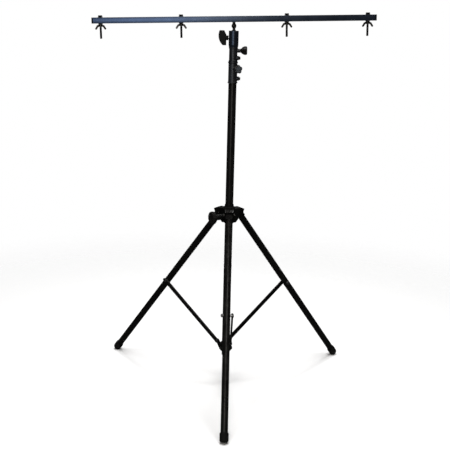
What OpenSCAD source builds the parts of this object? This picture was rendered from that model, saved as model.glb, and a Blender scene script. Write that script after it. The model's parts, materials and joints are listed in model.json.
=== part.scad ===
// Telescoping tripod stand with a T-bar and four hanging bolts for stage lights.
// Z is up, the T-bar lies along X and the front leg points to -Y.

/* [Tripod] */
// Height of the leg pivots in the yoke
yoke_z = 788; // [760:1:810]
// Distance of the leg pivots from the mast axis
leg_pivot_r = 48; // [46:0.5:54]
// Angle of the opened legs from the vertical
leg_angle = 36.8; // [34:0.1:39]
// Outside radius of a leg tube
leg_r = 15; // [13:0.5:15]
// Distance of a brace joint from its leg pivot, along the leg
brace_on_leg = 458; // [430:1:480]
// Width of a brace channel
brace_w = 17.5; // [15:0.5:20]
// Distance from the plane of a leg to the outer face of its brace channel
brace_side = 27; // [27:0.5:30]
// Outside radius of a rubber foot
foot_r = 18; // [17:0.5:20]

/* [Lower bracket] */
// Height of the brace pivots on the ring
ring_pivot_z = 181; // [175:1:190]
// Distance of the brace pivots from the mast axis
ring_pivot_r = 34; // [33:0.5:38]
// Outside radius of the ring
ring_r = 31; // [28:0.5:32]

/* [Mast] */
// Outside radius of the outer tube
outer_r = 17.5; // [17:0.5:17.5]
// Outside radius of the middle tube
middle_r = 15; // [14.5:0.5:15]
// Outside radius of the inner tube
inner_r = 12.5; // [12:0.5:12.5]
// Height of the mast foot
mast_foot_z = 120; // [110:1:130]
// Height of the outer tube's top end
outer_top_z = 1440; // [1430:1:1442]
// Height of the middle tube's top end, slid down
middle_top_z = 1506; // [1500:1:1508]
// Height of the inner tube's top end, slid down
inner_top_z = 1572; // [1560:1:1574]

/* [Clamp collars] */
// Bottom and top of the lower collar
lower_collar_z = [1361, 1451]; // [1355:1:1455]
// Bottom and top of the upper collar, 0.3 above the lower one
upper_collar_z = [1451.3, 1511]; // [1451.3:0.1:1515]
// Heights of the two star knobs
star_knob_z = [1422, 1498]; // [1410:1:1500]
// Directions of the two star knobs around the mast
star_knob_turn = [-65, 0]; // [-70:5:5]
// Heights of the two collar screws
collar_screw_z = [1381, 1467]; // [1375:1:1470]
// Directions of the two collar screws around the mast
collar_screw_turn = [-15, -15]; // [-20:5:-10]

/* [Head] */
// Height of the T-bar's centre
bar_z = 1628; // [1626:1:1632]
// Length of the T-bar over its end caps
bar_length = 1200; // [1000:10:1400]
// Side of the square T-bar tube
bar_side = 25; // [20:1:30]
// How far the T-bar leans on its stud
bar_lean = 2; // [0:0.5:2.5]
// Distances of the hanging bolts from the bar's middle
bolt_x = [-564, -223, 223, 564]; // [-580:1:580]
// Length of a hanging bolt under its head
bolt_length = 90; // [80:5:100]
// Outside radius of the head socket
socket_r = 21; // [20.5:0.5:23]
// Height of the wing knob on the socket
wing_knob_z = 1550; // [1545:1:1553]

/* [Hidden] */
$fn = 96;

// Gap between faces of neighbouring moving pieces
gap = 0.3;
// Radial clearance of a running fit
run = 0.08;
// Radial gap of a fixed fit
fixed = 0.05;
// Length by which a cutting shape runs past the face it cuts
past = 1;
// Directions of the front, right and left legs around the mast
LEG_TURN = [-90, 30, 150];
// Direction of the yoke knob, between the front and left legs
yoke_knob_turn = 210;
yoke_knob_z = yoke_z - 14;

// Walls
outer_wall = 2;
middle_wall = 1.8;
inner_wall = 1.6;
leg_wall = 1.8;
bar_wall = 2;

// Screws
m8_r = 4;
m8_head_r = 6.5;
m8_head_h = 5.3;
m10_r = 5;
m10_thread_r = 4.5;
m10_head_r = 9.8;
m10_head_h = 6.4;
m10_tip_h = 2;
washer_r = 10;
washer_h = 2;

// Feet: rounding of the lower edge, depth of the worn flat, length of the cap and thickness of its end
foot_round = 8;
foot_flat = 1.5;
foot_h = 38;
foot_end = 12;
foot_core = foot_r - foot_round;
foot_end_z = foot_round - foot_flat - foot_round * cos(leg_angle) + foot_core * sin(leg_angle);
leg_length = (yoke_z - foot_end_z) / cos(leg_angle);
foot_end_reach = leg_pivot_r + leg_length * sin(leg_angle);

// The outer edges of the feet, which centre the stand over its own outline in Y
foot_ring_reach = foot_end_reach - foot_round * sin(leg_angle);
front_reach = foot_ring_reach + foot_core * cos(leg_angle) + foot_round;
rear_reach = foot_ring_reach / 2 + foot_core * sqrt(1 - pow(sin(leg_angle) / 2, 2)) + foot_round;
mast_y = (front_reach - rear_reach) / 2;

// Leg knuckle: rounded block on the pivot and spigot in the tube
knuckle_w = 29.8;
knuckle_h = 24;
knuckle_end = 62;

// Braces, from the ring up to the legs
brace_top_r = leg_pivot_r + brace_on_leg * sin(leg_angle);
brace_top_z = yoke_z - brace_on_leg * cos(leg_angle);
brace_angle = atan2(brace_top_r - ring_pivot_r, brace_top_z - ring_pivot_z);
brace_length = norm([brace_top_r - ring_pivot_r, brace_top_z - ring_pivot_z]);
channel_wall = 1.5;
channel_depth = 8;
channel_corner = 2;
channel_over = 5;
web_y = brace_side - channel_wall;
rivet_head_r = 7;
rivet_head_h = 2.6;
bush_r = 6;

// Lower bracket
ring_z = [136, 174];
ring_rim_z = [141, 155];
ring_chamfer = 4;
ring_waist_r = 24.5;
lug_h = 5;
lug_r = 9;
lug_root_r = 20;
lug_root_z = 156;

// Yoke
yoke_bottom_z = yoke_z - 41;
yoke_top_z = yoke_z + 24;
yoke_r = 25;
yoke_bore_r = 20.6;
cheek_gap = 15.5;
cheek_h = 4.5;
cheek_end_r = 14;
// The fork's roof, from the leg's pivot: its bend, its outer corner and the foot of its outer edge
roof_bend = [4, 24];
roof_corner = [20, 18];
roof_foot = [13, -3];
roof_h = 5.5;
bush_lip_z = yoke_z + 34;
bush_lip_h = 7;
bush_lip_r = 22.5;
yoke_boss_r = 13;
yoke_boss_end = 62;

// Knobs: distances along their screws, from the mast axis
star_neck = 30;
star_disc = [43, 59];
star_r = 19;
star_lobes = 5;
wing_neck = 22;
wing_blade_start = 31;
yoke_disc = [74, 94];
yoke_disc_r = 28.5;
yoke_flutes = 24;

// Collars
collar_body_r = [19.2, 17.6];
collar_rim_r = [21.2, 19.1];
collar_rim_h = 5;
star_boss_r = 8.5;
star_boss_end = 29.5;
collar_screw_boss_r = 9;
collar_screw_boss_end = [27, 25.5];

// Head
socket_wall = 2.6;
socket_cap_h = 3;
socket_top_z = 1580;
socket_bottom_z = upper_collar_z[1] + gap;
socket_taper_h = 10;
socket_taper = 1.5;
stud_r = 6;
stud_ball_r = 10.4;
stud_ball_z = 1600;
stud_reach = bar_z - stud_ball_z + 72;
bar_cap_h = 5.5;
nut_h = 11;
nut_r = 8.5;
mast_x = (bar_z - stud_ball_z) * sin(bar_lean);

// Places: the whole stand, a direction around the mast, a leg, a brace and the T-bar
module stand() { translate([mast_x, mast_y, 0]) children(); }
module toward(turn) { stand() rotate([0, 0, turn]) children(); }
module at_leg(i) { toward(LEG_TURN[i]) children(); }
module on_leg(i) { at_leg(i) translate([leg_pivot_r, 0, yoke_z]) rotate([0, -leg_angle, 0]) children(); }
module on_brace(i) {
    at_leg(i) translate([ring_pivot_r, 0, ring_pivot_z]) rotate([0, brace_angle, 0]) children();
}
module on_bar() {
    stand() translate([0, 0, stud_ball_z]) rotate([0, -bar_lean, 0])
        translate([0, 0, bar_z - stud_ball_z]) children();
}
// A screw axis: its Z runs outwards from the mast at height z
module along(turn, z) { toward(turn) translate([0, 0, z]) rotate([0, 90, 0]) children(); }

// A cylinder from z0 to z1
module rod(r, z0, z1) { translate([0, 0, z0]) cylinder(r = r, h = z1 - z0); }
// A cylinder along Y from y0 to y1
module cross_rod(r, y0, y1) { translate([0, y1, 0]) rotate([90, 0, 0]) cylinder(r = r, h = y1 - y0); }
// A six-sided rod from z0 to z1, with r as its corner radius
module hex_rod(r, z0, z1) { translate([0, 0, z0]) cylinder(r = r, h = z1 - z0, $fn = 6); }
module tube(r, wall, z0, z1) {
    difference() {
        rod(r, z0, z1);
        rod(r - wall, z0 - past, z1 + past);
    }
}
// A round-ended strip between two points
module strip(a, b, r) {
    length = norm(b - a);
    translate(a) circle(r);
    translate(b) circle(r);
    translate(a) rotate(atan2(b[1] - a[1], b[0] - a[0])) translate([0, -r]) square([length, 2 * r]);
}
// A plate in the XZ plane, from y0 to y1
module plate(y0, y1) { translate([0, y1, 0]) rotate([90, 0, 0]) linear_extrude(y1 - y0) children(); }

// Mast
module outer_tube() {
    color("#1b1c1e") difference() {
        stand() tube(outer_r, outer_wall, mast_foot_z, outer_top_z);
        along(star_knob_turn[0], star_knob_z[0]) rod(m8_r + 1, 0, outer_r + past);
    }
}
module mast_foot_plug() {
    spigot_h = 26;
    lip_h = 5;
    color("#141414") stand() {
        rod(outer_r, mast_foot_z - lip_h - fixed, mast_foot_z - fixed);
        rod(outer_r - outer_wall - fixed, mast_foot_z - lip_h, mast_foot_z + spigot_h);
    }
}
// A tube's lower end glide: a collar under the tube and a spigot inside it
module glide(tube_r, wall, bore_r, tube_z) {
    glide_h = 22;
    spigot_h = 26;
    vent_r = 4;
    color("#d8d6cf") stand() difference() {
        union() {
            rod(bore_r - run, tube_z - glide_h, tube_z - fixed);
            rod(tube_r - wall - fixed, tube_z - glide_h, tube_z + spigot_h);
        }
        rod(vent_r, tube_z - glide_h - past, tube_z + spigot_h + past);
    }
}
middle_foot_z = mast_foot_z + 80;
inner_foot_z = middle_foot_z + 60;
module middle_tube() {
    color("#1e1f21") difference() {
        stand() tube(middle_r, middle_wall, middle_foot_z, middle_top_z);
        along(star_knob_turn[1], star_knob_z[1]) rod(m8_r + 1, 0, middle_r + past);
    }
}
module middle_tube_glide() { glide(middle_r, middle_wall, outer_r - outer_wall, middle_foot_z); }
module inner_tube() { color("#222326") stand() tube(inner_r, inner_wall, inner_foot_z, inner_top_z); }
module inner_tube_glide() { glide(inner_r, inner_wall, middle_r - middle_wall, inner_foot_z); }

// Clamp collars: n is 0 for the lower collar and 1 for the upper one
module clamp_collar(n, span, tube_r, tube_top_z, guided_r) {
    difference() {
        union() {
            stand() {
                rod(collar_body_r[n], span[0], span[1]);
                rod(collar_rim_r[n], span[0], span[0] + collar_rim_h);
                rod(collar_rim_r[n], span[1] - collar_rim_h, span[1]);
            }
            along(star_knob_turn[n], star_knob_z[n]) rod(star_boss_r, 0, star_boss_end);
            along(collar_screw_turn[n], collar_screw_z[n])
                rod(collar_screw_boss_r, 0, collar_screw_boss_end[n]);
        }
        stand() rod(tube_r + fixed, span[0] - past, tube_top_z + fixed);
        stand() rod(guided_r + run, tube_top_z, span[1] + past);
        along(star_knob_turn[n], star_knob_z[n]) rod(m8_r + run, 0, star_boss_end + past);
        along(collar_screw_turn[n], collar_screw_z[n]) rod(m8_r + fixed, 0, collar_screw_boss_end[n] + past);
    }
}
module lower_collar() { color("#232426") clamp_collar(0, lower_collar_z, outer_r, outer_top_z, middle_r); }
module upper_collar() {
    color("#26282b") clamp_collar(1, upper_collar_z, middle_r, middle_top_z, inner_r);
}
module collar_screw(n, tube_r) {
    start = collar_screw_boss_end[n] + fixed;
    hex_r = 3.5;
    color("#3a3a3c") along(collar_screw_turn[n], collar_screw_z[n]) difference() {
        union() {
            rod(m8_r, tube_r + 2 * fixed, start);
            rod(m8_head_r, start, start + m8_head_h);
        }
        hex_rod(hex_r, start + m8_head_h / 2, start + m8_head_h + past);
    }
}
module lower_collar_screw() { collar_screw(0, outer_r); }
module upper_collar_screw() { collar_screw(1, middle_r); }

// Star knobs and their screws, which press on the tube inside
module star_knob(n) {
    notch_r = 5.5;
    color("#1c1b1a") along(star_knob_turn[n], star_knob_z[n]) difference() {
        union() {
            rod(m8_r + 4.5, star_neck, star_disc[0] + past);
            translate([0, 0, star_neck + 4])
                cylinder(r1 = m8_r + 4.5, r2 = star_r - 2.5, h = star_disc[0] - star_neck - 4);
            rod(star_r, star_disc[0], star_disc[1]);
        }
        for (i = [0 : star_lobes - 1])
            rotate(i * 360 / star_lobes) translate([star_r + 2, 0, 0])
                rod(notch_r, star_disc[0] - 8, star_disc[1] + past);
        rod(m8_r + fixed, star_neck - past, star_disc[0] + 6);
    }
}
module star_screw(n, pressed_r) {
    color("#8d8f92") along(star_knob_turn[n], star_knob_z[n]) rod(m8_r, pressed_r + gap, star_disc[0] + 5.5);
}
module lower_star_knob() { star_knob(0); }
module lower_star_screw() { star_screw(0, middle_r); }
module upper_star_knob() { star_knob(1); }
module upper_star_screw() { star_screw(1, inner_r); }

// Head: a socket that turns on the inner tube, with the bar's stud on top
module head_socket() {
    color("#30343a") difference() {
        stand() {
            translate([0, 0, socket_bottom_z])
                cylinder(r1 = socket_r - socket_taper, r2 = socket_r, h = socket_taper_h);
            rod(socket_r, socket_bottom_z + socket_taper_h, socket_top_z);
        }
        stand() rod(socket_r - socket_wall, socket_bottom_z - past, socket_top_z - socket_cap_h);
        along(180, wing_knob_z) rod(m8_r + run, 0, socket_r + past);
        on_bar() rod(stud_r + fixed, -stud_reach, 0);
    }
}
module socket_liner() {
    color("#c9c6bd") difference() {
        stand() tube(socket_r - socket_wall - fixed, socket_r - socket_wall - fixed - inner_r - run,
            socket_bottom_z, inner_top_z);
        along(180, wing_knob_z) rod(m8_r + run, 0, socket_r);
    }
}
// The stud's profile follows a ball between two necks
module bar_stud() {
    under = bar_z - bar_side / 2 - stud_ball_z;
    foot = socket_top_z - stud_ball_z;
    color("#2a2a2b") on_bar() translate([0, 0, stud_ball_z - bar_z]) {
        rod(stud_r, foot - 6, under + bar_side);
        rod(stud_r + 0.5, stud_ball_r / 2, under - fixed);
        sphere(stud_ball_r);
    }
}
module stud_washer() {
    dome_r = 10;
    color("#3c3c3d") difference() {
        stand() translate([0, 0, socket_top_z + fixed])
            cylinder(r1 = dome_r, r2 = stud_r + 1.5, h = 3);
        on_bar() rod(stud_r + fixed, -stud_reach, 0);
    }
}
module t_bar() {
    half = bar_length / 2 - bar_cap_h - fixed;
    inner = bar_side - 2 * bar_wall;
    color("#20242b") on_bar() difference() {
        translate([-half, -bar_side / 2, -bar_side / 2]) cube([2 * half, bar_side, bar_side]);
        translate([-half - past, -inner / 2, -inner / 2]) cube([2 * (half + past), inner, inner]);
        rod(stud_r + fixed, -bar_side, bar_side);
        for (x = bolt_x) translate([x, 0, 0]) rod(m10_r + fixed, -bar_side, bar_side);
    }
}
module t_bar_cap(side) {
    spigot = 18;
    inner = bar_side - 2 * bar_wall - 2 * fixed;
    color("#101010") on_bar() rotate([0, 0, side > 0 ? 0 : 180]) {
        translate([bar_length / 2 - bar_cap_h, -bar_side / 2, -bar_side / 2])
            cube([bar_cap_h, bar_side, bar_side]);
        translate([bar_length / 2 - bar_cap_h - spigot, -inner / 2, -inner / 2])
            cube([spigot + past, inner, inner]);
    }
}
module t_bar_cap_left() { t_bar_cap(-1); }
module t_bar_cap_right() { t_bar_cap(1); }
bolt_head_z = bar_side / 2 + washer_h + 2 * fixed;
bolt_tip_z = bolt_head_z - bolt_length;
nut_top_z = -bar_side / 2 - washer_h - fixed - gap;
module hanging_bolt(i) {
    color("#2b2c2e") on_bar() translate([bolt_x[i], 0, 0]) {
        hex_rod(m10_head_r, bolt_head_z, bolt_head_z + m10_head_h);
        rod(m10_r, nut_top_z - nut_h, bolt_head_z);
        rod(m10_thread_r, bolt_tip_z + m10_tip_h, nut_top_z);
        translate([0, 0, bolt_tip_z]) cylinder(r1 = m10_r - 1, r2 = m10_thread_r, h = m10_tip_h);
    }
}
module hanging_bolt_1() { hanging_bolt(0); }
module hanging_bolt_2() { hanging_bolt(1); }
module hanging_bolt_3() { hanging_bolt(2); }
module hanging_bolt_4() { hanging_bolt(3); }
module bolt_washers() {
    color("#54565a") on_bar() for (x = bolt_x) translate([x, 0, 0]) {
        tube(washer_r, washer_r - m10_r - fixed, bar_side / 2 + fixed, bar_side / 2 + fixed + washer_h);
        tube(washer_r, washer_r - m10_r - fixed, -bar_side / 2 - fixed - washer_h, -bar_side / 2 - fixed);
    }
}
// A wing nut with its wings swept down and outwards
module wing_nut(i) {
    wing_h = 4;
    color("#2d2c2a") on_bar() translate([bolt_x[i], 0, nut_top_z]) difference() {
        union() {
            rod(nut_r, -nut_h, 0);
            for (side = [-1, 1]) plate(-wing_h / 2, wing_h / 2) {
                strip([side * 5, -5], [side * 13, -9], 4.5);
                strip([side * 13, -9], [side * 19.5, -19], 4);
            }
        }
        rod(m10_r + run, -nut_h - past, past);
    }
}
module wing_nut_1() { wing_nut(0); }
module wing_nut_2() { wing_nut(1); }
module wing_nut_3() { wing_nut(2); }
module wing_nut_4() { wing_nut(3); }

// The wing knob's blade: a D shape with its upper inner corner cut back
module wing_knob() {
    blade_h = 9;
    half = 31;
    neck_r = 10;
    color("#191919") along(180, wing_knob_z) difference() {
        union() {
            rod(neck_r, wing_neck, wing_blade_start + 4);
            rotate([0, 0, 180]) plate(-blade_h / 2, blade_h / 2) difference() {
                intersection() {
                    translate([9.6, 10.4]) circle(54);
                    translate([-half, wing_blade_start]) square([2 * half, 40]);
                }
                polygon([[11, wing_blade_start - past], [half + past, wing_blade_start - past],
                    [half + past, 41]]);
            }
        }
        rod(m8_r + fixed, 0, wing_blade_start + 6);
    }
}
module wing_knob_screw() { color("#8d8f92") along(180, wing_knob_z) rod(m8_r, inner_r + gap, 36.5); }

// Yoke: a barrel with three forks, which slides on the outer tube
module cheek(pivot) {
    root_r = 8;
    plate(-cheek_h / 2, cheek_h / 2) {
        translate(pivot) circle(cheek_end_r);
        polygon([[root_r, yoke_top_z], pivot + roof_bend, pivot + roof_corner, pivot + roof_foot,
            pivot - [0, cheek_end_r], [yoke_r, yoke_bottom_z], [root_r, yoke_bottom_z]]);
    }
}
module fork_roof(pivot) {
    root_r = 8;
    plate(-cheek_gap - past, cheek_gap + past)
        polygon([[root_r, yoke_top_z], pivot + roof_bend, pivot + roof_corner,
            pivot + roof_corner - [2, roof_h], pivot + roof_bend - [1, roof_h],
            [root_r, yoke_top_z - roof_h]]);
}
module yoke() {
    pivot = [leg_pivot_r, yoke_z];
    half = cheek_gap + 2 * cheek_h;
    color("#1a1a1b") difference() {
        union() {
            stand() rod(yoke_r, yoke_bottom_z, yoke_top_z);
            for (i = [0 : 2], side = [-1, 1])
                at_leg(i) translate([0, side * (cheek_gap + cheek_h / 2), 0]) cheek(pivot);
            for (i = [0 : 2]) at_leg(i) fork_roof(pivot);
            along(yoke_knob_turn, yoke_knob_z) rod(yoke_boss_r, 0, yoke_boss_end);
        }
        stand() rod(yoke_bore_r, yoke_bottom_z - past, yoke_top_z + past);
        for (i = [0 : 2]) at_leg(i) translate([leg_pivot_r, 0, yoke_z]) cross_rod(m8_r + fixed, -half, half);
        along(yoke_knob_turn, yoke_knob_z) rod(m8_r + run, 0, yoke_boss_end + past);
    }
}
module yoke_bush() {
    color("#232324") difference() {
        stand() union() {
            tube(yoke_bore_r - fixed, yoke_bore_r - fixed - outer_r - run, yoke_bottom_z + 3,
                bush_lip_z + bush_lip_h);
            tube(bush_lip_r, bush_lip_r - outer_r - run, bush_lip_z - 8, bush_lip_z + bush_lip_h);
        }
        along(yoke_knob_turn, yoke_knob_z) rod(m8_r + run, 0, yoke_bore_r + past);
    }
}
module yoke_pivot_bolts() {
    face = cheek_gap + cheek_h + fixed;
    nut_thick = 5;
    color("#3a3b3d") for (i = [0 : 2]) at_leg(i) translate([leg_pivot_r, 0, yoke_z]) rotate([90, 0, 0]) {
        rod(m8_r, -face - nut_thick - 2, face);
        hex_rod(m8_head_r + 1, face, face + m8_head_h);
        hex_rod(m8_head_r + 1, -face - nut_thick, -face);
    }
}
module yoke_knob() {
    flute_r = 2;
    color("#161616") along(yoke_knob_turn, yoke_knob_z) difference() {
        union() {
            rod(yoke_boss_r - 1, yoke_boss_end + gap, yoke_disc[0] + past);
            rod(yoke_disc_r, yoke_disc[0], yoke_disc[1]);
        }
        for (i = [0 : yoke_flutes - 1])
            rotate(i * 360 / yoke_flutes) translate([yoke_disc_r + flute_r / 2, 0, 0])
                rod(flute_r, yoke_disc[0] - past, yoke_disc[1] + past, $fn = 24);
        rod(m8_r + fixed, 0, yoke_disc[0] + 8);
    }
}
module yoke_knob_screw() {
    color("#8d8f92") along(yoke_knob_turn, yoke_knob_z) rod(m8_r, outer_r + gap, yoke_disc[0] + 7.5);
}

// Legs
module leg_tube(i) {
    color("#1c1d1f") on_leg(i) difference() {
        tube(leg_r, leg_wall, -leg_length + foot_end + fixed, -knuckle_h);
        translate([0, 0, -brace_on_leg]) cross_rod(m8_r + fixed, -leg_r - past, leg_r + past);
    }
}
module leg_tube_front() { leg_tube(0); }
module leg_tube_right() { leg_tube(1); }
module leg_tube_left() { leg_tube(2); }
module leg_knuckle(i) {
    half = knuckle_w / 2;
    color("#151515") on_leg(i) difference() {
        union() {
            plate(-half, half) {
                circle(half);
                translate([-half, -knuckle_h + fixed]) square([knuckle_w, knuckle_h - fixed]);
            }
            rod(leg_r - leg_wall - fixed, -knuckle_end, -knuckle_h + past);
        }
        cross_rod(m8_r + run, -half - past, half + past);
    }
}
module leg_knuckle_front() { leg_knuckle(0); }
module leg_knuckle_right() { leg_knuckle(1); }
module leg_knuckle_left() { leg_knuckle(2); }
// A rubber cap with a round lower edge and a worn flat on the floor
module foot(i) {
    under = 40;
    color("#121212") difference() {
        on_leg(i) translate([0, 0, -leg_length]) difference() {
            rotate_extrude() {
                square([foot_core, foot_h]);
                translate([0, foot_round]) square([foot_r, foot_h - foot_round]);
                translate([foot_core, foot_round]) circle(foot_round);
            }
            rod(leg_r + fixed, foot_end, foot_h + past);
        }
        at_leg(i) translate([foot_end_reach - under, -under, -2 * under]) cube(2 * under);
    }
}
module foot_front() { foot(0); }
module foot_right() { foot(1); }
module foot_left() { foot(2); }
// The leg's half of the brace joint: a lock nut on the far side and its bolt through the leg
module brace_nut(i) {
    nut_h = 8;
    washer_h = 1.5;
    nut_y = -leg_r - fixed - washer_h;
    color("#6a6c70") on_leg(i) translate([0, 0, -brace_on_leg]) rotate([90, 0, 0]) {
        rod(m8_head_r + 1.5, -nut_y - washer_h, -nut_y);
        hex_rod(m8_head_r + 1, -nut_y, -nut_y + nut_h);
        rod(m8_r, -leg_r, -nut_y + nut_h + 1.5);
    }
}
module brace_nut_front() { brace_nut(0); }
module brace_nut_right() { brace_nut(1); }
module brace_nut_left() { brace_nut(2); }

// Braces: a channel beside the leg, open towards it, with round ends
module channel_profile() {
    half = brace_w / 2;
    difference() {
        union() {
            translate([-half, brace_side - channel_depth]) square([brace_w, channel_depth - channel_corner]);
            translate([-half + channel_corner, web_y - channel_corner])
                square([brace_w - 2 * channel_corner, channel_wall + channel_corner]);
            for (side = [-1, 1]) translate([side * (half - channel_corner), brace_side - channel_corner])
                circle(channel_corner);
        }
        translate([-half + channel_wall, brace_side - channel_depth - past])
            square([brace_w - 2 * channel_wall, channel_depth - channel_wall + past]);
    }
}
module brace(i) {
    color("#1b1a1a") on_brace(i) difference() {
        intersection() {
            translate([0, 0, -brace_w]) linear_extrude(brace_length + 2 * brace_w) channel_profile();
            plate(0, 2 * brace_side) strip([0, 0], [0, brace_length + channel_over], brace_w / 2);
        }
        cross_rod(m8_r + run, web_y - past, brace_side + past);
        translate([0, 0, brace_length]) cross_rod(m8_r + fixed, web_y - past, brace_side + past);
    }
}
module brace_front() { brace(0); }
module brace_right() { brace(1); }
module brace_left() { brace(2); }
// The brace's half of the joint: bolt head outside, spacer bush between channel and leg
module brace_bolt(i) {
    color("#6a6c70") on_brace(i) translate([0, 0, brace_length]) {
        cross_rod(bush_r, leg_r + gap, web_y - fixed);
        cross_rod(m8_r, leg_r + gap, brace_side + 1);
        cross_rod(rivet_head_r, brace_side + fixed, brace_side + rivet_head_h);
    }
}
module brace_bolt_front() { brace_bolt(0); }
module brace_bolt_right() { brace_bolt(1); }
module brace_bolt_left() { brace_bolt(2); }

// Lower bracket on the mast foot
lug_y = brace_side - channel_depth - gap - lug_h;
module brace_ring() {
    color("#191919") difference() {
        union() {
            stand() {
                rod(ring_waist_r, ring_z[0], ring_z[1]);
                rod(ring_r, ring_rim_z[0] + ring_chamfer, ring_rim_z[1] - ring_chamfer);
                translate([0, 0, ring_rim_z[0]])
                    cylinder(r1 = ring_r - ring_chamfer, r2 = ring_r, h = ring_chamfer);
                translate([0, 0, ring_rim_z[1] - ring_chamfer])
                    cylinder(r1 = ring_r, r2 = ring_r - ring_chamfer, h = ring_chamfer);
            }
            for (i = [0 : 2]) at_leg(i) plate(lug_y, lug_y + lug_h)
                strip([lug_root_r, lug_root_z], [ring_pivot_r, ring_pivot_z], lug_r);
        }
        stand() rod(outer_r + fixed, ring_z[0] - past, ring_z[1] + 2 * lug_r);
        for (i = [0 : 2])
            at_leg(i) translate([ring_pivot_r, 0, ring_pivot_z]) cross_rod(m8_r + fixed, 0, brace_side);
    }
}
module brace_ring_pins() {
    color("#6a6c70") for (i = [0 : 2]) at_leg(i) translate([ring_pivot_r, 0, ring_pivot_z]) {
        cross_rod(rivet_head_r - 1, lug_y - rivet_head_h, lug_y - fixed);
        cross_rod(bush_r, lug_y + lug_h + fixed, web_y - gap);
        cross_rod(m8_r, lug_y - 1, brace_side + gap + 1);
        cross_rod(rivet_head_r, brace_side + gap, brace_side + gap + rivet_head_h);
    }
}

outer_tube();
mast_foot_plug();
brace_ring();
brace_ring_pins();
lower_collar();
lower_collar_screw();
middle_tube();
middle_tube_glide();
upper_collar();
upper_collar_screw();
inner_tube();
inner_tube_glide();
head_socket();
socket_liner();
bar_stud();
stud_washer();
t_bar();
t_bar_cap_left();
t_bar_cap_right();
hanging_bolt_1();
hanging_bolt_2();
hanging_bolt_3();
hanging_bolt_4();
bolt_washers();
wing_nut_1();
wing_nut_2();
wing_nut_3();
wing_nut_4();
wing_knob();
wing_knob_screw();
lower_star_knob();
lower_star_screw();
upper_star_knob();
upper_star_screw();
yoke();
yoke_bush();
yoke_pivot_bolts();
yoke_knob();
yoke_knob_screw();
leg_tube_front();
leg_tube_right();
leg_tube_left();
leg_knuckle_front();
leg_knuckle_right();
leg_knuckle_left();
foot_front();
foot_right();
foot_left();
brace_nut_front();
brace_nut_right();
brace_nut_left();
brace_front();
brace_right();
brace_left();
brace_bolt_front();
brace_bolt_right();
brace_bolt_left();
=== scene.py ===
import json
import math
import bmesh
import bpy
from mathutils import Matrix, Vector


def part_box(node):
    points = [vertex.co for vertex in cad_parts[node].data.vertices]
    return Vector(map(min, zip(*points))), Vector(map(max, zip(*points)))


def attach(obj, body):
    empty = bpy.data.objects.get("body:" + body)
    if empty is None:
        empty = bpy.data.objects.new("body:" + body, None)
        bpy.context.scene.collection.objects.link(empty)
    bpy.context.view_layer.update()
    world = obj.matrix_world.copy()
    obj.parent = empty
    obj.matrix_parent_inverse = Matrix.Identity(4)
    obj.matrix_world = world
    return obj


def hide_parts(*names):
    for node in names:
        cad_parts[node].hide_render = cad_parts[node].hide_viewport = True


# A telescoping tripod stand with a T-bar for stage lights. Metres, +Z up, front leg towards -Y.

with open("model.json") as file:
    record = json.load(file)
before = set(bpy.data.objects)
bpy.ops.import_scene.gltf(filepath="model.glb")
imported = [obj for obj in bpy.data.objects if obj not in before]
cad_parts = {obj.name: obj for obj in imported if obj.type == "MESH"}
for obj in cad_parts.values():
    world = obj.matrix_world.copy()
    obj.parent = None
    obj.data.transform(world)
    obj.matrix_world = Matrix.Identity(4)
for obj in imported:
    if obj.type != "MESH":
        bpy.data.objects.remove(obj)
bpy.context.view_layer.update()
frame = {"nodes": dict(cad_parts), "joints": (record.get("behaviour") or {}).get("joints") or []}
NODES = frame["nodes"]
JOINTS = {joint["name"]: joint for joint in frame["joints"]}

MM = 0.001
UP = Vector((0, 0, 1))
SIDES = ("front", "right", "left")
HANGING_BOLTS = (1, 2, 3, 4)
LEG_ANGLE = math.radians(36.8)      # opened legs, from the vertical
LEG_LENGTH = 976.5 * MM             # from a leg's pivot to the tread of its foot
BORE_R = 17.58 * MM                 # the hole of the yoke's bush, which slides on the mast
STUD_BALL_HEIGHT = 26 * MM          # the middle of the stud's ball, above the stud's foot

# How far two faces turn, in degrees, before their meeting stays a sharp edge.
EDGE_TURN = 35
CAST_TURN = 60
MOULDED_TURN = 50
THREAD_TURN = 30


# ---------------------------------------------------------------- places

def basis(origin, z, x_hint):
    """A frame with its Z along z and its X as near x_hint as it can be."""
    z = Vector(z).normalized()
    x = Vector(x_hint)
    x = (x - z * x.dot(z)).normalized()
    turn = Matrix((x, z.cross(x), z)).transposed()
    return Matrix.Translation(Vector(origin)) @ turn.to_4x4()


def screw_frame(joint):
    """The frame of a clamp screw: Z outwards from the mast's axis, X down."""
    return basis(JOINTS[joint]["pos_m"], JOINTS[joint]["axis"], -UP)


def leg_frame(side):
    """The frame of a leg: Z from the foot up to the pivot, X outwards, Y along the pivot."""
    joint = JOINTS[side + "_leg_fold"]
    tangent = Vector(joint["axis"]).normalized()
    outwards = tangent.cross(UP)
    up_leg = UP * math.cos(LEG_ANGLE) - outwards * math.sin(LEG_ANGLE)
    return basis(joint["pos_m"], up_leg, outwards)


def bolt_frame(number):
    """The frame of a hanging bolt: Z down along it from the wing nut's middle, X along the bar."""
    joint = JOINTS["wing_nut_turn_%d" % number]
    return basis(joint["pos_m"], joint["axis"], (1, 0, 0))


# ---------------------------------------------------------------- meshes

def in_mm(*corners):
    """Corners of a profile that are given in millimetres."""
    return [tuple(value * MM for value in corner) for corner in corners]


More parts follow.
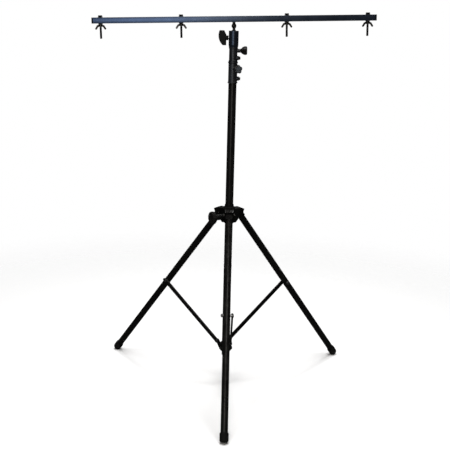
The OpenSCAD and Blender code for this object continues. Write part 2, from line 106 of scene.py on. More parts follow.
def rounded(corners, steps=4):
    """A profile of (radius, height, fillet) corners, with each corner rounded to its fillet."""
    points = [Vector(corner[:2]) for corner in corners]
    fillets = [corner[2] if len(corner) > 2 else 0 for corner in corners]
    outline = [points[0]]
    for before, here, after, fillet in zip(points, points[1:], points[2:], fillets[1:]):
        if fillet <= 0:
            outline.append(here)
            continue
        reach = min(fillet, (before - here).length * 0.49, (after - here).length * 0.49)
        start = here + (before - here).normalized() * reach
        end = here + (after - here).normalized() * reach
        for step in range(steps + 1):
            t = step / steps
            outline.append(start * (1 - t) ** 2 + here * 2 * t * (1 - t) + end * t * t)
    outline.append(points[-1])
    return outline


def turned(outline, steps, radius_at=None):
    """A closed mesh turned about Z, of an outline from axis to axis or round to its start."""
    work = bmesh.new()
    rings = []
    for radius, height in outline:
        if radius < 1e-6:
            rings.append([work.verts.new((0, 0, height))])
            continue
        ring = []
        for step in range(steps):
            angle = 2 * math.pi * step / steps
            reach = radius_at(radius, height, angle) if radius_at else radius
            ring.append(work.verts.new((reach * math.cos(angle), reach * math.sin(angle), height)))
        rings.append(ring)
    for low, high in zip(rings, rings[1:]):
        for step in range(steps):
            after = (step + 1) % steps
            corners = [low[step % len(low)], low[after % len(low)],
                       high[after % len(high)], high[step % len(high)]]
            face = list(dict.fromkeys(corners))
            if len(face) > 2:
                work.faces.new(face)
    bmesh.ops.remove_doubles(work, verts=work.verts, dist=1e-7)
    bmesh.ops.recalc_face_normals(work, faces=work.faces)
    mesh = bpy.data.meshes.new("turned")
    work.to_mesh(mesh)
    work.free()
    return mesh


def hexagon(corner_radius):
    """Cuts a turned shape to a hexagon, which leaves the round chamfer of a bolt head."""
    flat = corner_radius * math.cos(math.pi / 6)

    def radius_at(radius, height, angle):
        across = (angle + math.pi / 6) % (math.pi / 3) - math.pi / 6
        return min(radius, flat / math.cos(across))
    return radius_at


def lobed(count, depth, start):
    """Hollows round the rim between its lobes, which deepen past the height at which they start."""
    run_in, full_radius = 4 * MM, 14 * MM

    def radius_at(radius, height, angle):
        hollow = (0.5 + 0.5 * math.cos(count * angle)) ** 1.6
        ramp = min(1, max(0, (height - start) / run_in))
        return radius - depth * hollow * ramp * min(1, radius / full_radius) ** 3
    return radius_at


def joined(*meshes):
    """One new mesh from one or more, which stay as they are."""
    work = bmesh.new()
    for mesh in meshes:
        work.from_mesh(mesh)
    whole = bpy.data.meshes.new("joined")
    work.to_mesh(whole)
    work.free()
    return whole


def placed(mesh, matrix):
    mesh.transform(matrix)
    return mesh


def raised(mesh, height):
    return placed(mesh, Matrix.Translation((0, 0, height)))


def evaluated(carrier):
    """A plain mesh of an object with its modifiers, and the object removed."""
    bpy.context.scene.collection.objects.link(carrier)
    result = carrier.evaluated_get(bpy.context.evaluated_depsgraph_get())
    mesh = bpy.data.meshes.new_from_object(result)
    bpy.data.objects.remove(carrier)
    return mesh


def cast(node, grain, rounds, keep=0.5):
    """A casting or moulding: a node's solid with its surfaces flowed together in soft fillets."""
    carrier = bpy.data.objects.new("casting", joined(NODES[node].data))
    weld = carrier.modifiers.new("weld", "WELD")
    weld.merge_threshold = 1e-6
    remesh = carrier.modifiers.new("skin", "REMESH")
    remesh.mode = "VOXEL"
    remesh.voxel_size = grain
    smooth = carrier.modifiers.new("fillets", "SMOOTH")
    smooth.factor = 0.5
    smooth.iterations = rounds
    thin = carrier.modifiers.new("thin", "DECIMATE")
    thin.ratio = keep
    return evaluated(carrier)


def piece(name, mesh, body, material, node):
    """A finished piece of the stand, which rides on a body and stands for a node."""
    mesh.name = name
    mesh.materials.clear()
    mesh.materials.append(material)
    for face in mesh.polygons:
        face.use_smooth = True
    obj = bpy.data.objects.new(name, mesh)
    bpy.context.scene.collection.objects.link(obj)
    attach(obj, body)
    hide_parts(node)
    return obj


def creases(obj, turn=EDGE_TURN):
    """Keeps the piece's true edges sharp and its curves smooth."""
    shade = obj.modifiers.new("shade", "NODES")
    shade.node_group = shading_tree()
    shade[socket_id(shade.node_group, "Edge angle")] = math.radians(turn)


def bevelled(obj, width):
    """Rounds the piece's edges by a small radius."""
    weld = obj.modifiers.new("weld", "WELD")
    weld.merge_threshold = 2e-6
    edge = obj.modifiers.new("edges", "BEVEL")
    edge.width = width
    edge.segments = 3
    edge.limit_method = "ANGLE"
    edge.angle_limit = math.radians(EDGE_TURN)
    creases(obj)


# ---------------------------------------------------------------- nodes of a tree

def feed(tree, socket, value):
    """Gives a socket a wire, or a value of its own."""
    if isinstance(value, Wire):
        value = value.socket
    if isinstance(value, bpy.types.NodeSocket):
        tree.links.new(value, socket)
    else:
        socket.default_value = value


def new_node(tree, kind, feeds, settings):
    """A node with its settings, and then what its named or numbered sockets take."""
    made = tree.nodes.new(kind)
    for label, value in settings.items():
        setattr(made, label, value)
    for label, value in dict(feeds).items():
        for one in value if isinstance(value, list) else [value]:
            feed(tree, made.inputs[label], one)
    return made


# ---------------------------------------------------------------- geometry trees

def socket_id(tree, name):
    """The identifier of a tree's named input."""
    return next(item.identifier for item in tree.interface.items_tree
                if item.item_type == "SOCKET" and item.in_out == "INPUT" and item.name == name)


class Grower:
    """A geometry tree with named inputs. Its nodes are made and fed in one call."""

    def __init__(self, name, **sizes):
        self.tree = bpy.data.node_groups.new(name, "GeometryNodeTree")
        self.socket("Geometry", "INPUT", "NodeSocketGeometry")
        self.socket("Geometry", "OUTPUT", "NodeSocketGeometry")
        for label, value in sizes.items():
            kind = "NodeSocketInt" if isinstance(value, int) else "NodeSocketFloat"
            self.socket(label.replace("_", " "), "INPUT", kind).default_value = value
        self.inputs = self.tree.nodes.new("NodeGroupInput")
        self.output = self.tree.nodes.new("NodeGroupOutput")

    def socket(self, name, in_out, kind):
        return self.tree.interface.new_socket(name, in_out=in_out, socket_type=kind)

    def size(self, label):
        return self.inputs.outputs[label]

    def node(self, kind, feeds=(), **settings):
        return new_node(self.tree, kind, feeds, settings).outputs[0]

    def maths(self, operation, first, second):
        return self.node("ShaderNodeMath", {0: first, 1: second}, operation=operation)

    def finish(self, shape, material):
        whole = self.node("GeometryNodeRealizeInstances", {"Geometry": shape})
        painted = self.node("GeometryNodeSetMaterial", {"Geometry": whole, "Material": material})
        feed(self.tree, self.output.inputs[0], painted)
        return self.tree


def grown(tree, **sizes):
    """The plain mesh that a geometry tree makes with these sizes."""
    carrier = bpy.data.objects.new("carrier", bpy.data.meshes.new("empty"))
    grow = carrier.modifiers.new("grow", "NODES")
    grow.node_group = tree
    for label, value in sizes.items():
        grow[socket_id(tree, label.replace("_", " "))] = value
    return evaluated(carrier)


def shading_tree():
    """Smooth faces with sharp edges past an angle. It adds no shape and keeps the materials."""
    if "crease shading" in bpy.data.node_groups:
        return bpy.data.node_groups["crease shading"]
    grower = Grower("crease shading", Edge_angle=0.6)
    angle = grower.node("GeometryNodeInputMeshEdgeAngle")
    sharp = grower.node("FunctionNodeCompare", {0: angle, 1: grower.size("Edge angle")},
                        operation="GREATER_THAN")
    smooth = grower.node("GeometryNodeSetShadeSmooth", {0: grower.size("Geometry"), 2: True},
                         domain="FACE")
    soft = grower.node("FunctionNodeBooleanMath", {0: sharp}, operation="NOT")
    creased = grower.node("GeometryNodeSetShadeSmooth", {0: smooth, 2: soft}, domain="EDGE")
    feed(grower.tree, grower.output.inputs[0], creased)
    return grower.tree


def thread_tree(material):
    """A threaded rod along +Z: a round core and a helical ridge with a V section."""
    around = 28
    grower = Grower("threaded rod", Radius=5 * MM, Pitch=1.5 * MM, Length=60 * MM, Depth=0.9 * MM)
    radius, pitch = grower.size("Radius"), grower.size("Pitch")
    length, depth = grower.size("Length"), grower.size("Depth")
    crest_line = grower.maths("SUBTRACT", radius, depth)
    turns = grower.maths("DIVIDE", length, pitch)
    ridge_path = grower.node("GeometryNodeCurveSpiral", {
        "Resolution": around, "Rotations": turns, "Start Radius": crest_line,
        "End Radius": crest_line, "Height": length})
    upright = grower.node("GeometryNodeSetCurveNormal", {"Curve": ridge_path}, mode="Z_UP")
    section = grower.node("GeometryNodeCurvePrimitiveCircle", {"Resolution": 4, "Radius": depth})
    ridge = grower.node("GeometryNodeCurveToMesh", {
        "Curve": upright, "Profile Curve": section, "Fill Caps": True})
    core = grower.node("GeometryNodeMeshCylinder", {
        "Vertices": around, "Radius": crest_line, "Depth": length})
    half = grower.maths("MULTIPLY", length, 0.5)
    lift = grower.node("ShaderNodeCombineXYZ", {"Z": half})
    lifted = grower.node("GeometryNodeTransform", {"Geometry": core, "Translation": lift})
    whole = grower.node("GeometryNodeJoinGeometry", {0: [ridge, lifted]})
    return grower.finish(whole, material)


def rim_ribs_tree(material):
    """Rounded ribs that stand round the rim of a knob, each along Z and thinner at its ends."""
    grower = Grower("rim ribs", Count=24, Rim=25 * MM, Rib=2 * MM, Height=18 * MM)
    rim = grower.node("GeometryNodeMeshCircle", {
        "Vertices": grower.size("Count"), "Radius": grower.size("Rim")})
    top = grower.node("ShaderNodeCombineXYZ", {"Z": grower.size("Height")})
    line = grower.node("GeometryNodeCurvePrimitiveLine", {"End": top})
    fine = grower.node("GeometryNodeResampleCurve", {"Curve": line, "Count": 13})
    along = grower.node("GeometryNodeSplineParameter")
    inset = grower.maths("ADD", grower.maths("MULTIPLY", along, 0.96), 0.02)
    half_turn = grower.maths("MULTIPLY", inset, math.pi)
    arch = grower.node("ShaderNodeMath", {0: half_turn}, operation="SINE")
    bulge = grower.maths("POWER", arch, 0.4)
    section = grower.node("GeometryNodeCurvePrimitiveCircle", {
        "Resolution": 10, "Radius": grower.size("Rib")})
    rib = grower.node("GeometryNodeCurveToMesh", {
        "Curve": fine, "Profile Curve": section, "Scale": bulge, "Fill Caps": True})
    ribs = grower.node("GeometryNodeInstanceOnPoints", {"Points": rim, "Instance": rib})
    return grower.finish(ribs, material)


def grip_rings_tree(material):
    """Rounded rings one above another along +Z, for the grip of a rubber foot."""
    grower = Grower("grip rings", Count=3, Spacing=5 * MM, Radius=18 * MM, Ring=0.8 * MM)
    path = grower.node("GeometryNodeCurvePrimitiveCircle", {
        "Resolution": 64, "Radius": grower.size("Radius")})
    section = grower.node("GeometryNodeCurvePrimitiveCircle", {
        "Resolution": 10, "Radius": grower.size("Ring")})
    ring = grower.node("GeometryNodeCurveToMesh", {"Curve": path, "Profile Curve": section})
    offset = grower.node("ShaderNodeCombineXYZ", {"Z": grower.size("Spacing")})
    places = grower.node("GeometryNodeMeshLine", {
        "Count": grower.size("Count"), "Offset": offset})
    rings = grower.node("GeometryNodeInstanceOnPoints", {"Points": places, "Instance": ring})
    return grower.finish(rings, material)


# ---------------------------------------------------------------- finishes

class Wire:
    """A number, colour or vector in a material, which ordinary arithmetic works on."""

    def __init__(self, tree, socket):
        self.tree = tree
        self.socket = socket

    def node(self, kind, feeds=(), output=0, **settings):
        """Any other node of the tree, with its sockets fed by name or number."""
        return Wire(self.tree, new_node(self.tree, kind, feeds, settings).outputs[output])

    def maths(self, operation, first, second):
        return self.node("ShaderNodeMath", {0: first, 1: second}, operation=operation)

    def __add__(self, other):
        return self.maths("ADD", self, other)

    __radd__ = __add__

    def __sub__(self, other):
        return self.maths("SUBTRACT", self, other)

    def __rsub__(self, other):
        return self.maths("SUBTRACT", other, self)

    def __mul__(self, other):
        return self.maths("MULTIPLY", self, other)

    __rmul__ = __mul__

    def step(self, low, high):
        """0 below low, 1 above high and smooth between."""
        return self.node("ShaderNodeMapRange", {"Value": self, "From Min": low, "From Max": high},
                         interpolation_type="SMOOTHSTEP")

    def stretched(self, x, y, z):
        return self.node("ShaderNodeVectorMath", {0: self, 1: (x, y, z)}, operation="MULTIPLY")

    def noise(self, scale, detail, rough):
        """Soft noise from 0 to 1 at this position."""
        return self.node("ShaderNodeTexNoise", {
            "Vector": self, "Scale": scale, "Detail": detail, "Roughness": rough})

    def height(self):
        """The z of a vector."""
        return self.node("ShaderNodeSeparateXYZ", {0: self}, output=2)

    def mix(self, first, second):
        """A colour between two, by this factor."""
        return self.node("ShaderNodeMix", {0: self, 6: first, 7: second}, output=2,
                         data_type="RGBA")


def grey(value, tint=(1, 1, 1)):
    return tuple(value * part for part in tint) + (1,)


DUST_TINT = (1.0, 0.96, 0.9)


class Finish:
    """A surface under construction: its position, its worn edges and its shader."""

    def __init__(self, name):
        self.material = bpy.data.materials.new(name)
        self.material.use_nodes = True
        self.tree = self.material.node_tree
        self.shader = self.tree.nodes["Principled BSDF"]
        place = self.tree.nodes.new("ShaderNodeTexCoord")
        self.at = Wire(self.tree, place.outputs["Object"])
        self.facing = Wire(self.tree, place.outputs["Normal"])

    def edges(self, radius):
        """1 on convex or hollow edges within this radius, 0 on open faces."""
        round_normal = self.at.node("ShaderNodeBevel", {"Radius": radius}, samples=4)
        true_normal = self.at.node("ShaderNodeNewGeometry", output=1)
        likeness = self.at.node("ShaderNodeVectorMath", {0: round_normal, 1: true_normal},
                                output=1, operation="DOT_PRODUCT")
        return (1 - likeness).step(0.01, 0.12)

    def dust(self, amount):
        """Dust in patches on what faces up."""
        upward = self.facing.height().step(0.1, 0.95)
        return upward * self.at.noise(38, 5, 0.65).step(0.35, 0.75) * amount

    def takes(self, label, value):
        feed(self.tree, self.shader.inputs[label], value)

    def bump(self, height, distance, strength):
        self.takes("Normal", self.at.node("ShaderNodeBump", {
            "Height": height, "Distance": distance, "Strength": strength}))

    def surface(self, colour, roughness, **constants):
        self.takes("Base Color", colour)
        self.takes("Roughness", roughness)
        for label, value in constants.items():
            self.takes(label.replace("_", " "), value)
        return self.material


def powder_coat(name, tone, tint, roughness, specular, rub=(55, 55, 55), glint=(1, 1, 1)):
    """Sprayed coat: orange peel, uneven sheen, rubbed marks and bare steel at its edges.

    The marks are long where the scales of rub are small. Glint tints what it reflects."""
    finish = Finish(name)
    peel = finish.at.noise(620, 2, 0.4)
    cloud = finish.at.noise(11, 4, 0.6)
    speck = finish.at.noise(260, 2, 0.5).step(0.68, 0.74)
    dust = finish.dust(0.12)
    worn = finish.edges(0.7 * MM) * finish.at.noise(70, 4, 0.7).step(0.5, 0.68) * 0.6
    rubbed = finish.at.stretched(*rub).noise(1.0, 5, 0.7).step(0.56, 0.8)
    colour = cloud.step(0.3, 0.7).mix(grey(tone * 0.75, tint), grey(tone * 1.35, tint))
    colour = (rubbed * 0.45).mix(colour, grey(tone * 2.6, tint))
    colour = (speck * 0.25).mix(colour, grey(0.06))
    colour = dust.mix(colour, grey(0.16, DUST_TINT))
    colour = worn.mix(colour, grey(0.30, (1.0, 0.98, 0.96)))
    rough = roughness + (cloud - 0.5) * 0.2 - rubbed * 0.08 + dust * 0.5 - worn * 0.1
    finish.takes("Metallic", worn * 0.9)
    finish.bump(peel + speck * 0.5, 0.05 * MM, 0.55)
    return finish.surface(colour, rough, Specular_IOR_Level=specular, Specular_Tint=grey(1, glint))


def cast_paint(name, tone, tint, roughness, specular):
    """Painted casting: sandy grain under the paint, chipped along its edges."""
    finish = Finish(name)
    sand = finish.at.noise(900, 4, 0.7)
    lumps = finish.at.noise(90, 3, 0.5)
    cloud = finish.at.noise(24, 4, 0.6)
    dust = finish.dust(0.1)
    chips = finish.edges(0.9 * MM) * finish.at.noise(140, 5, 0.75).step(0.52, 0.62) * 0.75
    colour = cloud.step(0.3, 0.7).mix(grey(tone * 0.7, tint), grey(tone * 1.5, tint))
    colour = dust.mix(colour, grey(0.15, DUST_TINT))
    colour = chips.mix(colour, grey(0.34))
    rough = roughness + (cloud - 0.5) * 0.18 + dust * 0.4 - chips * 0.12
    finish.takes("Metallic", chips * 0.95)
    finish.bump(sand * 0.5 + lumps, 0.12 * MM, 0.6)
    return finish.surface(colour, rough, Specular_IOR_Level=specular)


def steel(name, tone, tint, roughness, tarnish):
    """Plated or blackened steel: fine lathe lines, tarnish blotches, brighter at its edges."""
    finish = Finish(name)
    lines = finish.at.stretched(300, 300, 2600).noise(1.0, 3, 0.6)
    blotch = finish.at.noise(160, 5, 0.65).step(0.42, 0.66)
    bright = finish.edges(0.5 * MM) * finish.at.noise(220, 3, 0.6).step(0.35, 0.6) * 0.7
    colour = (blotch * tarnish).mix(grey(tone, tint), grey(tone * 0.45, (1.0, 0.9, 0.78)))
    colour = bright.mix(colour, grey(0.62))
    rough = roughness + blotch * 0.2 + (lines - 0.5) * 0.16 - bright * 0.08
    finish.bump(lines, 0.02 * MM, 0.5)
    return finish.surface(colour, rough, Metallic=1.0)


def moulded(name, tone, tint, roughness, specular, grain=1500):
    """Moulded plastic: spark-eroded grain, polished by hands on its high spots."""
    finish = Finish(name)
    texture = finish.at.noise(grain, 3, 0.6)
    cloud = finish.at.noise(34, 4, 0.6)
    handled = finish.edges(1.6 * MM) * finish.at.noise(60, 3, 0.5).step(0.35, 0.6)
    scuffs = finish.at.stretched(120, 700, 240).noise(1.0, 5, 0.75).step(0.62, 0.72)
    dust = finish.dust(0.1)
    colour = cloud.mix(grey(tone * 0.8, tint), grey(tone * 1.3, tint))
    colour = (scuffs * 0.3 + handled * 0.2).mix(colour, grey(tone * 3.2 + 0.01, tint))
    colour = dust.mix(colour, grey(0.15, DUST_TINT))
    rough = roughness - handled * 0.16 + scuffs * 0.1 + (cloud - 0.5) * 0.1 + dust * 0.3
    finish.bump(texture + scuffs * 0.4, 0.06 * MM, 0.5)
    return finish.surface(colour, rough, Specular_IOR_Level=specular)


def foot_rubber(name):
    """Dull rubber: fine grain, floor dirt near the ground, greyed scuffs on its ribs."""
    finish = Finish(name)
    texture = finish.at.noise(1100, 4, 0.7)
    bloom = finish.at.noise(60, 5, 0.65)
    low = 1 - finish.at.height().step(2 * MM, 26 * MM)
    dirt = low * finish.at.noise(150, 5, 0.7).step(0.38, 0.62)
    scuffed = finish.edges(1.2 * MM) * finish.at.noise(120, 4, 0.7).step(0.4, 0.62)
    colour = bloom.mix(grey(0.0025), grey(0.007))
    colour = (scuffed * 0.12).mix(colour, grey(0.05))
    colour = (dirt * 0.08).mix(colour, grey(0.13, (1.0, 0.93, 0.84)))
    rough = 0.72 + (bloom - 0.5) * 0.15 + dirt * 0.15
    finish.bump(texture + dirt * 0.5, 0.09 * MM, 0.6)
    return finish.surface(colour, rough, Specular_IOR_Level=0.15)


# Name, tone, tint, roughness, and the strength of the reflection or of the tarnish.
TUBE_PAINT = powder_coat("tube powder coat", 0.005, (1.0, 0.95, 0.88), 0.38, 0.26,
                         rub=(160, 160, 5))
LEG_PAINT = powder_coat("leg powder coat", 0.0028, (1.0, 0.95, 0.88), 0.28, 0.28)
BAR_PAINT = powder_coat("bar enamel", 0.009, (0.8, 0.95, 1.3), 0.34, 0.5,
                        rub=(5, 160, 160), glint=(0.6, 0.76, 1.0))
FITTING_PAINT = cast_paint("fitting paint", 0.003, (0.98, 1.0, 0.98), 0.36, 0.16)
COLLAR_PAINT = cast_paint("collar paint", 0.010, (0.92, 0.98, 1.1), 0.40, 0.4)
DARK_STEEL = steel("blackened steel", 0.05, (1.0, 0.97, 0.92), 0.38, 0.5)
ZINC_STEEL = steel("zinc plated steel", 0.30, (1.0, 1.0, 1.03), 0.34, 0.4)
KNOB_PLASTIC = moulded("knob moulding", 0.006, (1.0, 0.96, 0.92), 0.62, 0.16)
STAR_PLASTIC = moulded("star knob moulding", 0.008, (1.0, 0.98, 1.0), 0.34, 0.45)
CAP_PLASTIC = moulded("cap moulding", 0.0028, (1, 1, 1), 0.6, 0.08)
LINER_PLASTIC = moulded("liner nylon", 0.42, (1.0, 0.97, 0.9), 0.42, 0.42, grain=700)
RUBBER = foot_rubber("foot rubber")


# ---------------------------------------------------------------- pieces

def each_side(name):
    """The three nodes that a name stands for, one at each leg."""
    return [name + "_" + side for side in SIDES]


def paint_nodes():
    """Finishes and small edge radii, in mm, for the machined nodes that stay as they are."""
    plans = [
        (TUBE_PAINT, 0.4, ["outer_tube", "middle_tube", "inner_tube"]),
        (LEG_PAINT, 0.4, each_side("leg_tube") + each_side("brace")),
        (BAR_PAINT, 1.6, ["t_bar"]),
        (DARK_STEEL, 0.4, ["stud_washer", "bolt_washers", "lower_collar_screw",
                           "upper_collar_screw", "yoke_pivot_bolts"]),
        (ZINC_STEEL, 0.4, ["brace_ring_pins", "wing_knob_screw", "lower_star_screw",
                           "upper_star_screw", "yoke_knob_screw"]
                          + each_side("brace_nut") + each_side("brace_bolt")),
        (LINER_PLASTIC, 0.4, ["middle_tube_glide", "inner_tube_glide", "socket_liner"]),
        (CAP_PLASTIC, 1.2, ["mast_foot_plug", "t_bar_cap_left", "t_bar_cap_right"]
                           + each_side("leg_knuckle")),
    ]
    for material, edge, nodes in plans:
        for node in nodes:
            obj = NODES[node]
            obj.data.materials.clear()
            obj.data.materials.append(material)
            bevelled(obj, edge * MM)


def make_castings():
    """The yoke, the lower bracket, the collars, the socket and its wing handle."""
    # The piece, its node, its grain in mm, its rounds of filleting, its body, slot and finish.
    plans = [
        ("yoke_casting", "yoke", 0.8, 8, "yoke_slider", "black_fitting", FITTING_PAINT),
        ("bracket_casting", "brace_ring", 0.7, 4, "fixed_mast", "black_fitting", FITTING_PAINT),
        ("lower_collar_casting", "lower_collar", 0.6, 4, "fixed_mast", "black_fitting",
         COLLAR_PAINT),
        ("upper_collar_casting", "upper_collar", 0.6, 4, "middle_mast", "black_fitting",
         COLLAR_PAINT),
        ("socket_body", "head_socket", 0.6, 3, "head", "bar_paint", BAR_PAINT),
        ("wing_handle", "wing_knob", 0.45, 9, "socket_wing", "knob_plastic", KNOB_PLASTIC),
    ]
    for name, node, grain, rounds, body, slot, material in plans:
        mesh = cast(node, grain * MM, rounds)
        creases(piece(name, mesh, body, material, node), CAST_TURN)


def make_star_knobs():
    """Two five-lobed knobs: a neck, a flared back, a rounded rim and a dished cap."""
    outline = rounded(in_mm(
        (0, 30), (8.5, 30, 1), (8.5, 33, 2), (14.5, 38.5, 3), (19, 46, 4), (19, 56, 4),
        (15, 59, 2), (8.5, 59, 0.8), (8, 58, 0.8), (0, 58.6)), 6)
    for name, moulding in (("lower_star", STAR_PLASTIC), ("upper_star", KNOB_PLASTIC)):
        knob = turned(outline, 120, lobed(count=5, depth=3.4 * MM, start=36 * MM))
        piece(name + "_grip", placed(knob, screw_frame(name + "_turn")), name,
              moulding, name + "_knob")


def make_yoke_knob():
    """The large fluted knob that clamps the yoke."""
    outline = rounded(in_mm(
        (0, 62.4), (12, 62.4, 1), (12, 70, 4), (24, 74.5, 4), (26.6, 77, 2), (26.6, 91, 3),
        (22, 93.8, 2), (11, 93, 1), (10, 91.6, 1), (0, 92.2)), 6)
    ribs = grown(rim_ribs_tree(KNOB_PLASTIC), Count=24, Rim=26.4 * MM, Rib=2.0 * MM,
                 Height=17 * MM)
    knob = joined(turned(outline, 96), raised(ribs, 75.5 * MM))
    creases(piece("yoke_grip", placed(knob, screw_frame("yoke_knob_turn")), "yoke_clamp",
                  KNOB_PLASTIC, "yoke_knob"), MOULDED_TURN)


def make_yoke_bush():
    """The yoke's bush: a sleeve in the yoke and a flared collar above it, round the mast."""
    low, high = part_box("yoke_bush")
    yoke_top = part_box("yoke")[1].z
    sleeve, clear_top = 20.55 * MM, yoke_top + 0.2 * MM
    outline = rounded([
        (BORE_R, low.z), (sleeve, low.z), (sleeve, clear_top), (26 * MM, clear_top, 0.8 * MM),
        (25.2 * MM, yoke_top + 3 * MM, 1.5 * MM), (20.5 * MM, yoke_top + 9 * MM, 4 * MM),
        (19.4 * MM, high.z, 0.8 * MM), (BORE_R, high.z), (BORE_R, low.z)], 5)
    bush = turned(outline, 96)
    axis_x, axis_y, _ = JOINTS["head_swivel"]["pos_m"]
    creases(piece("flared_bush", placed(bush, Matrix.Translation((axis_x, axis_y, 0))),
                  "yoke_slider", CAP_PLASTIC, "yoke_bush"), MOULDED_TURN)


def make_stud():
    """The stud under the bar: a ball between two narrow necks."""
    low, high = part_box("bar_stud")
    lean = Vector(JOINTS["wing_nut_turn_1"]["axis"]) * -1
    ball = Vector((JOINTS["head_swivel"]["pos_m"][0], (low.y + high.y) / 2,
                   low.z + STUD_BALL_HEIGHT))
    ball_r, stretch = 10.4 * MM, 1.08
    arc = [(ball_r * math.cos(math.radians(a)), stretch * ball_r * math.sin(math.radians(a)))
           for a in range(-54, 55, 6)]
    outline = rounded(in_mm((0, -26), (6, -26, 0.5), (6, -13, 5)) + arc
                      + in_mm((6.4, 12.5, 3), (6.4, 40, 0.5), (0, 40)))
    stud = turned(outline, 64)
    creases(piece("ball_stud", placed(stud, basis(ball, lean, (1, 0, 0))), "head",
                  DARK_STEEL, "bar_stud"))


def make_hanging_bolts():
    """M10 hexagon bolts with a chamfered head and a cut thread on their free length."""
    thread = thread_tree(DARK_STEEL)
    corner, head_r, head_side, head_height = 9.8 * MM, 8.3 * MM, 1.4 * MM, 6.2 * MM
    shank_r, thread_r, thread_top = 4.95 * MM, 4.86 * MM, 5.4 * MM
    clear, run_out, tip_length = 0.2 * MM, 1 * MM, 1.6 * MM
    for number in HANGING_BOLTS:
        place = bolt_frame(number)
        low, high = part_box("hanging_bolt_%d" % number)
        nut_middle = Vector(JOINTS["wing_nut_turn_%d" % number]["pos_m"])
        down = place.to_3x3().col[2]
        over = (high.z - nut_middle.z) / -down.z - clear
        under = (nut_middle.z - low.z) / -down.z - clear
        head = turned(rounded([
            (0, -over), (head_r, -over, clear), (corner, -over + head_side),
            (corner, -over + head_height, clear), (0, -over + head_height)], 2),
            72, hexagon(corner))
        shank = turned(rounded([
            (0, -over + 5 * MM), (shank_r, -over + 5 * MM), (shank_r, -thread_top, clear),
            (0, -thread_top)], 2), 40)
        cut = grown(thread, Radius=thread_r, Pitch=1.5 * MM, Length=under + thread_top - run_out,
                    Depth=0.75 * MM)
        tip = turned(rounded([
            (0, under - tip_length), (4.1 * MM, under - tip_length), (3.6 * MM, under, clear),
            (0, under)], 2), 28)
        bolt = joined(head, shank, raised(cut, -thread_top), tip)
        creases(piece("threaded_bolt_%d" % number, placed(bolt, place), "head",
                      DARK_STEEL, "hanging_bolt_%d" % number), THREAD_TURN)


def make_wing_nuts():
    """Forged wing nuts with their wings swept down."""
    for number in HANGING_BOLTS:
        node = "wing_nut_%d" % number
        creases(piece("forged_nut_%d" % number, cast(node, 0.32 * MM, 5, keep=0.4),
                      "nut_%d" % number, DARK_STEEL, node), CAST_TURN)


def make_feet():
    """Rubber caps: a rounded tread worn flat on the floor, a sleeve with grip rings and a lip."""
    outline = rounded(in_mm(
        (0, 0), (18, 0, 8.4), (18, 36.8, 1.2), (15.15, 38, 0.5), (15.05, 12.2, 0.2),
        (0, 12.2)), 8)
    rings = grip_rings_tree(RUBBER)
    for side in SIDES:
        sleeve = turned(outline, 96)
        grip = grown(rings, Count=4, Spacing=6.2 * MM, Radius=17.9 * MM, Ring=0.75 * MM)
        foot = joined(sleeve, raised(grip, 13 * MM))
        foot.transform(leg_frame(side) @ Matrix.Translation((0, 0, -LEG_LENGTH)))
        for vertex in foot.vertices:
            vertex.co.z = max(vertex.co.z, 0)
        creases(piece("rubber_foot_" + side, foot, side + "_leg", RUBBER,
                      "foot_" + side), MOULDED_TURN)


# ---------------------------------------------------------------- studio

WHITE = (1, 1, 1)
ROOM_LIGHT = 0.03       # what the pale room itself gives, where the camera sees it as 1

# Name, place, target, width, height, watts, colour, and the pieces that it is kept to, if any.
LIGHTS = [
    ("overhead", (0, 0.2, 4.6), (0, 0.1, 0), 3.6, 3.6, 265, WHITE, ()),
    ("front box", (-0.45, -4.6, 2.2), (0, 0.15, 0.8), 0.4, 2.4, 47, (1.0, 0.94, 0.88), ()),
    ("cool box", (-1.6, -4.4, 1.7), (-0.4, 0.15, 1.63), 1.3, 0.9, 104, (0.58, 0.71, 1.0),
     ("t_bar", "t_bar_cap_left", "t_bar_cap_right")),
    ("side strip", (2.7, -2.1, 1.55), (0, 0.15, 1.44), 0.8, 0.8, 14, (0.8, 0.91, 1.0),
     ("lower_star_grip",)),
    ("soft cool box", (-1.6, -4.4, 1.7), (0, 0.15, 1.4), 1.3, 0.9, 30, (0.72, 0.84, 1.0),
     ("socket_body", "lower_collar_casting", "upper_collar_casting", "lower_star_grip")),
    ("high strip", (0.05, -2.7, 4.3), (0, -0.3, 0.25), 0.15, 1.8, 30, (1.0, 0.97, 0.93), ()),
    ("top spark", (0.1, 1.6, 3.4), (0, 0.15, 0.8), 0.5, 0.5, 26, WHITE, ()),
]


def make_floor():
    """A plain pale floor that fades into the pale surroundings."""
    radius, solid_to = 3.2, 1.1
    floor = bpy.data.objects.new("studio_floor", bpy.data.meshes.new("studio_floor"))
    work = bmesh.new()
    bmesh.ops.create_circle(work, cap_ends=True, segments=96, radius=radius)
    work.to_mesh(floor.data)
    work.free()
    finish = Finish("pale floor")
    distance = finish.at.node("ShaderNodeVectorMath", {0: finish.at}, output=1,
                              operation="LENGTH")
    finish.takes("Alpha", 1 - distance.step(solid_to, radius * 0.95))
    floor.data.materials.append(finish.surface(grey(0.86), 0.9, Specular_IOR_Level=0.1))
    bpy.context.scene.collection.objects.link(floor)
    floor.visible_glossy = False


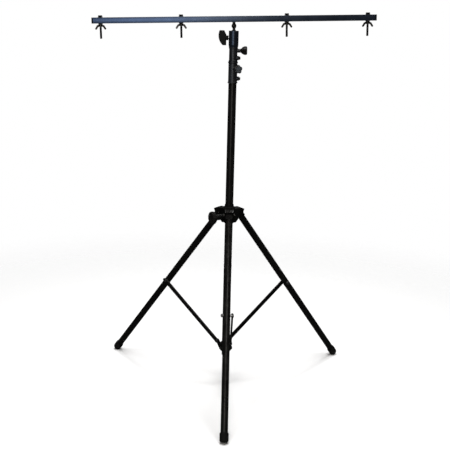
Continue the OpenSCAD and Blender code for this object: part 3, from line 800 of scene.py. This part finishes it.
def make_light(name, place, target, width, height, watts, colour, kept_to):
    """A soft box. A light that is kept to some pieces is flagged off the others."""
    light = bpy.data.lights.new(name, "AREA")
    light.shape = "RECTANGLE"
    light.size = width
    light.size_y = height
    light.energy = watts
    light.color = colour
    obj = bpy.data.objects.new(name, light)
    aim = (Vector(target) - Vector(place)).to_track_quat("-Z", "Y").to_matrix().to_4x4()
    obj.matrix_world = Matrix.Translation(place) @ aim
    bpy.context.scene.collection.objects.link(obj)
    if kept_to:
        lit = bpy.data.collections.new(name + " lights")
        for piece_name in kept_to:
            lit.objects.link(bpy.data.objects[piece_name])
        obj.light_linking.receiver_collection = lit


def make_studio():
    """The floor, the lights and a pale room."""
    make_floor()
    for light in LIGHTS:
        make_light(*light)
    bpy.data.objects["overhead"].visible_glossy = False
    world = bpy.data.worlds.new("pale room")
    bpy.context.scene.world = world
    world.use_nodes = True
    tree = world.node_tree
    back = tree.nodes["Background"]
    seen = Wire(tree, tree.nodes.new("ShaderNodeLightPath").outputs["Is Camera Ray"])
    feed(tree, back.inputs["Color"], (1, 1, 1, 1))
    feed(tree, back.inputs["Strength"], seen * (1 - ROOM_LIGHT) + ROOM_LIGHT)


def make_camera():
    """A long lens at about the bar's height, tipped down and turned a little about its axis."""
    place = Vector((-0.0197, -3.4437, 1.6147))
    tip, swing, turn = math.radians(13.764), math.radians(0.062), math.radians(1.439)
    forward = Vector((math.sin(swing) * math.cos(tip), math.cos(swing) * math.cos(tip),
                      -math.sin(tip)))
    level = Vector((math.cos(swing), -math.sin(swing), 0))
    above = level.cross(forward)
    right = level * math.cos(turn) + above * math.sin(turn)
    upward = above * math.cos(turn) - level * math.sin(turn)
    facing = Matrix((right, upward, -forward)).transposed()
    camera = bpy.data.objects.new("camera", bpy.data.cameras.new("camera"))
    camera.data.lens = 66.256
    camera.data.sensor_width = 36
    camera.matrix_world = Matrix.Translation(place) @ facing.to_4x4()
    bpy.context.scene.collection.objects.link(camera)
    bpy.context.scene.camera = camera


make_camera()
bpy.context.scene.view_settings.view_transform = "Standard"
paint_nodes()
make_castings()
make_star_knobs()
make_yoke_knob()
make_yoke_bush()
make_stud()
make_hanging_bolts()
make_wing_nuts()
make_feet()
make_studio()
